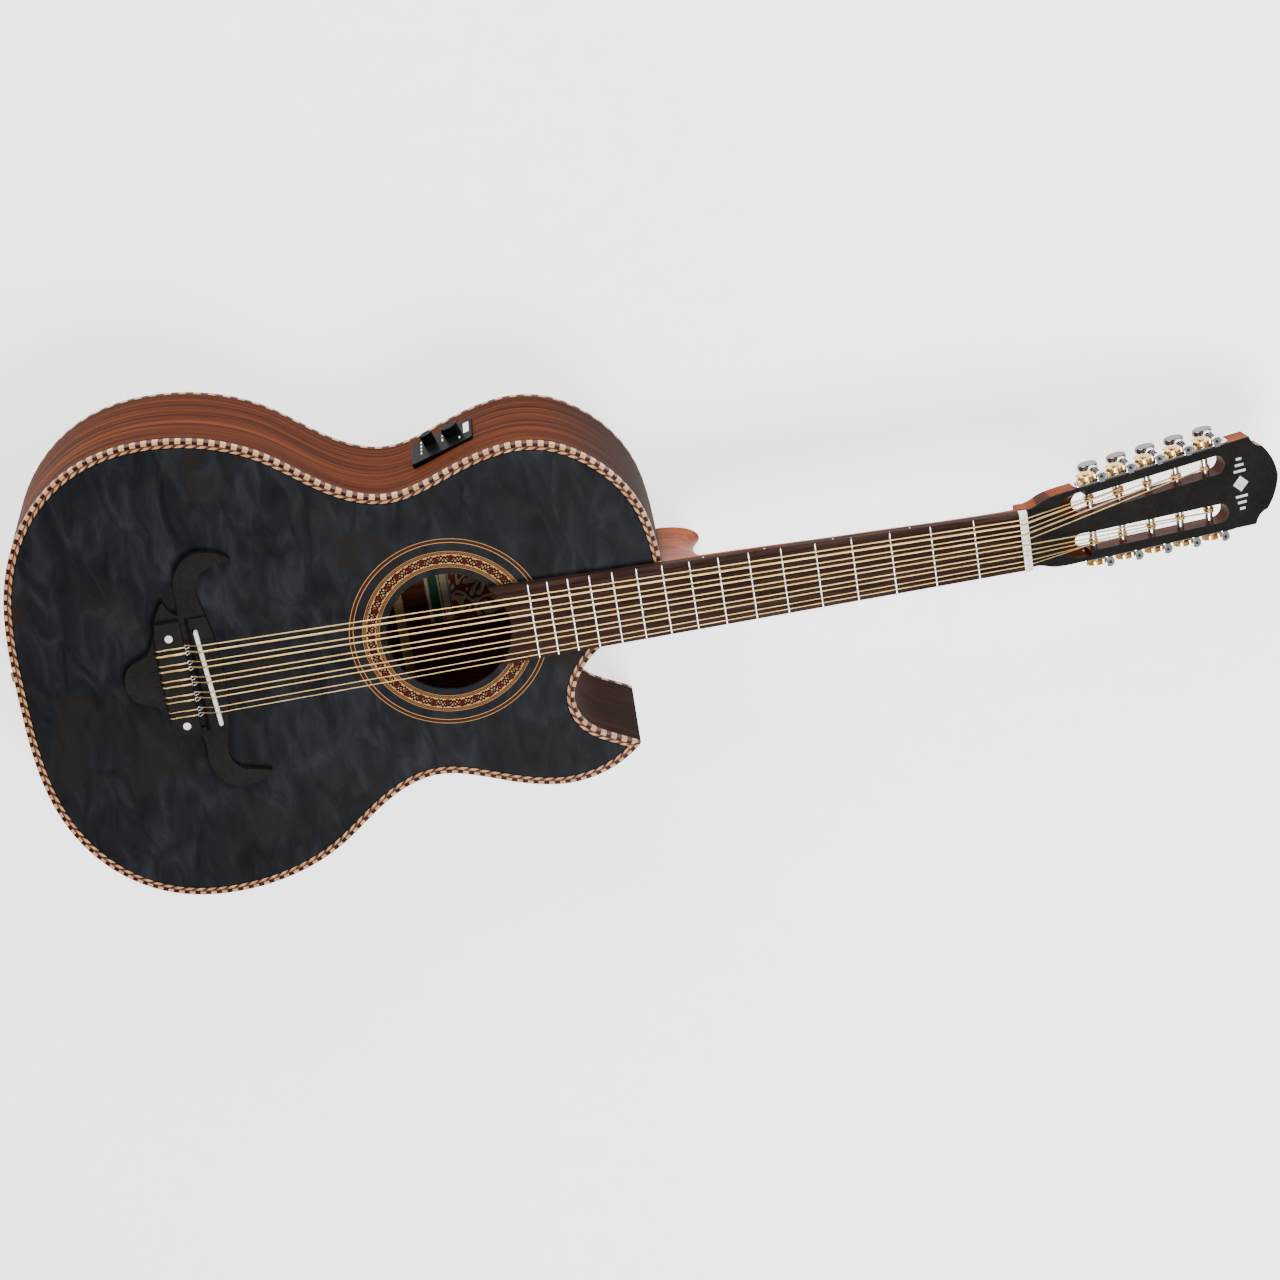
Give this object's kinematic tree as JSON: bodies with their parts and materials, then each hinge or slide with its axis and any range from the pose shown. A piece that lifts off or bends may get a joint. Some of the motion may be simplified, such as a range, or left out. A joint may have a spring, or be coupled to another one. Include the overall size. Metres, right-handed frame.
{
  "type": "flat-back double-course lute guitar",
  "caption": "Cutaway flat-back stringed instrument with paired strings, slotted head with worm tuners, horn-shaped bridge, round soundhole and side-mounted preamp.",
  "frame": {"origin": "on the surface the instrument lies on, under the middle of its bounding box", "axes": "+X along the neck to the head, +Y to the bass side, +Z out of the soundboard"},
  "size_m": [1.092, 0.413, 0.1388],
  "materials": {
    "quilted_top": "satin charcoal stain over quilted figure",
    "rosewood": "satin lacquer",
    "spruce": "bare, sanded",
    "mahogany": "gloss lacquer",
    "dark_fingerboard": "oiled",
    "black_lacquer": "satin lacquer",
    "binding": "polished blocks",
    "marquetry": "lacquered",
    "bone": "polished",
    "nickel": "polished",
    "chrome": "polished",
    "gear_brass": "polished",
    "string_bronze": "wound",
    "steel": "plain",
    "black_plastic": "moulded",
    "window_plastic": "clear white",
    "pearl": "pearloid",
    "label_paper": "printed",
    "copper_strip": "plain"
  },
  "bodies": {
    "instrument": {"back_binding": "binding", "back_braces": "spruce", "back_plate": "rosewood", "bass_side": "rosewood", "bass_tuner_plate": "chrome", "bridge": "black_lacquer", "bridge_dots": "bone", "bridge_plate": "rosewood", "course_1_strings": "string_bronze", "course_2_strings": "string_bronze", "course_3_strings": "string_bronze", "course_4_strings": "string_bronze", "course_5_strings": "string_bronze", "fretboard": "dark_fingerboard", "frets": "nickel", "head_inlay": "pearl", "headplate": "black_lacquer", "label": "label_paper", "linings": "spruce", "neck": "mahogany", "neck_block": "mahogany", "nut": "bone", "output_jack": "nickel", "preamp": "black_plastic", "preamp_window": "window_plastic", "rosette": "marquetry", "saddle": "bone", "saddle_pickup": "copper_strip", "side_dots": "bone", "soundboard": "quilted_top", "tail_block": "mahogany", "top_binding": "binding", "top_braces": "spruce", "top_purfling": "marquetry", "treble_side": "rosewood", "treble_tuner_plate": "chrome", "truss_rod": "steel", "tuner_screws": "steel"},
    "bass_button_1": {"bass_button_1": "chrome"},
    "bass_button_2": {"bass_button_2": "chrome"},
    "bass_button_3": {"bass_button_3": "chrome"},
    "bass_button_4": {"bass_button_4": "chrome"},
    "bass_button_5": {"bass_button_5": "chrome"},
    "bass_roller_1": {"bass_roller_1": "gear_brass"},
    "bass_roller_2": {"bass_roller_2": "gear_brass"},
    "bass_roller_3": {"bass_roller_3": "gear_brass"},
    "bass_roller_4": {"bass_roller_4": "gear_brass"},
    "bass_roller_5": {"bass_roller_5": "gear_brass"},
    "tone_knob": {"tone_knob": "black_plastic"},
    "treble_button_1": {"treble_button_1": "chrome"},
    "treble_button_2": {"treble_button_2": "chrome"},
    "treble_button_3": {"treble_button_3": "chrome"},
    "treble_button_4": {"treble_button_4": "chrome"},
    "treble_button_5": {"treble_button_5": "chrome"},
    "treble_roller_1": {"treble_roller_1": "gear_brass"},
    "treble_roller_2": {"treble_roller_2": "gear_brass"},
    "treble_roller_3": {"treble_roller_3": "gear_brass"},
    "treble_roller_4": {"treble_roller_4": "gear_brass"},
    "treble_roller_5": {"treble_roller_5": "gear_brass"},
    "volume_knob": {"volume_knob": "black_plastic"}
  },
  "joints": [
    {"name": "bass_button_1_turn", "type": "hinge", "parent": "instrument", "child": "bass_button_1", "pos_m": [0.38796, 0.03894, 0.1007], "axis": [0.2419, 0, 0.9703], "continuous": true},
    {"name": "bass_roller_1_turn", "type": "hinge", "parent": "instrument", "child": "bass_roller_1", "pos_m": [0.37799, 0.03349, 0.10319], "axis": [-0.0419, 0.9991, 0.0104], "continuous": true},
    {"name": "bass_button_2_turn", "type": "hinge", "parent": "instrument", "child": "bass_button_2", "pos_m": [0.41394, 0.0401, 0.09422], "axis": [0.2419, 0, 0.9703], "continuous": true},
    {"name": "bass_roller_2_turn", "type": "hinge", "parent": "instrument", "child": "bass_roller_2", "pos_m": [0.40397, 0.03465, 0.09671], "axis": [-0.0419, 0.9991, 0.0104], "continuous": true},
    {"name": "bass_button_3_turn", "type": "hinge", "parent": "instrument", "child": "bass_button_3", "pos_m": [0.43992, 0.04125, 0.08775], "axis": [0.2419, 0, 0.9703], "continuous": true},
    {"name": "bass_roller_3_turn", "type": "hinge", "parent": "instrument", "child": "bass_roller_3", "pos_m": [0.42995, 0.0358, 0.09023], "axis": [-0.0419, 0.9991, 0.0104], "continuous": true},
    {"name": "bass_button_4_turn", "type": "hinge", "parent": "instrument", "child": "bass_button_4", "pos_m": [0.4659, 0.04241, 0.08127], "axis": [0.2419, 0, 0.9703], "continuous": true},
    {"name": "bass_roller_4_turn", "type": "hinge", "parent": "instrument", "child": "bass_roller_4", "pos_m": [0.45593, 0.03696, 0.08375], "axis": [-0.0419, 0.9991, 0.0104], "continuous": true},
    {"name": "bass_button_5_turn", "type": "hinge", "parent": "instrument", "child": "bass_button_5", "pos_m": [0.49188, 0.04357, 0.07479], "axis": [0.2419, 0, 0.9703], "continuous": true},
    {"name": "bass_roller_5_turn", "type": "hinge", "parent": "instrument", "child": "bass_roller_5", "pos_m": [0.48191, 0.03812, 0.07728], "axis": [-0.0419, 0.9991, 0.0104], "continuous": true},
    {"name": "treble_button_1_turn", "type": "hinge", "parent": "instrument", "child": "treble_button_1", "pos_m": [0.38796, -0.03894, 0.1007], "axis": [0.2419, 0, 0.9703], "continuous": true},
    {"name": "treble_roller_1_turn", "type": "hinge", "parent": "instrument", "child": "treble_roller_1", "pos_m": [0.37799, -0.03349, 0.10319], "axis": [-0.0419, -0.9991, 0.0104], "continuous": true},
    {"name": "treble_button_2_turn", "type": "hinge", "parent": "instrument", "child": "treble_button_2", "pos_m": [0.41394, -0.0401, 0.09422], "axis": [0.2419, 0, 0.9703], "continuous": true},
    {"name": "treble_roller_2_turn", "type": "hinge", "parent": "instrument", "child": "treble_roller_2", "pos_m": [0.40397, -0.03465, 0.09671], "axis": [-0.0419, -0.9991, 0.0104], "continuous": true},
    {"name": "treble_button_3_turn", "type": "hinge", "parent": "instrument", "child": "treble_button_3", "pos_m": [0.43992, -0.04125, 0.08775], "axis": [0.2419, 0, 0.9703], "continuous": true},
    {"name": "treble_roller_3_turn", "type": "hinge", "parent": "instrument", "child": "treble_roller_3", "pos_m": [0.42995, -0.0358, 0.09023], "axis": [-0.0419, -0.9991, 0.0104], "continuous": true},
    {"name": "treble_button_4_turn", "type": "hinge", "parent": "instrument", "child": "treble_button_4", "pos_m": [0.4659, -0.04241, 0.08127], "axis": [0.2419, 0, 0.9703], "continuous": true},
    {"name": "treble_roller_4_turn", "type": "hinge", "parent": "instrument", "child": "treble_roller_4", "pos_m": [0.45593, -0.03696, 0.08375], "axis": [-0.0419, -0.9991, 0.0104], "continuous": true},
    {"name": "treble_button_5_turn", "type": "hinge", "parent": "instrument", "child": "treble_button_5", "pos_m": [0.49188, -0.04357, 0.07479], "axis": [0.2419, 0, 0.9703], "continuous": true},
    {"name": "treble_roller_5_turn", "type": "hinge", "parent": "instrument", "child": "treble_roller_5", "pos_m": [0.48191, -0.03812, 0.07728], "axis": [-0.0419, -0.9991, 0.0104], "continuous": true},
    {"name": "volume_knob_turn", "type": "hinge", "parent": "instrument", "child": "volume_knob", "pos_m": [-0.16048, 0.13816, 0.0485], "axis": [-0.3007, 0.9537, 0], "range_deg": [-140, 140]},
    {"name": "tone_knob_turn", "type": "hinge", "parent": "instrument", "child": "tone_knob", "pos_m": [-0.14045, 0.14447, 0.053], "axis": [-0.3007, 0.9537, 0], "range_deg": [-140, 140]}
  ],
  "couplings": [
    {"joint": "bass_roller_1_turn", "follows": "bass_button_1_turn", "ratio": 0.0625},
    {"joint": "bass_roller_2_turn", "follows": "bass_button_2_turn", "ratio": 0.0625},
    {"joint": "bass_roller_3_turn", "follows": "bass_button_3_turn", "ratio": 0.0625},
    {"joint": "bass_roller_4_turn", "follows": "bass_button_4_turn", "ratio": 0.0625},
    {"joint": "bass_roller_5_turn", "follows": "bass_button_5_turn", "ratio": 0.0625},
    {"joint": "treble_roller_1_turn", "follows": "treble_button_1_turn", "ratio": 0.0625},
    {"joint": "treble_roller_2_turn", "follows": "treble_button_2_turn", "ratio": 0.0625},
    {"joint": "treble_roller_3_turn", "follows": "treble_button_3_turn", "ratio": 0.0625},
    {"joint": "treble_roller_4_turn", "follows": "treble_button_4_turn", "ratio": 0.0625},
    {"joint": "treble_roller_5_turn", "follows": "treble_button_5_turn", "ratio": 0.0625}
  ]
}
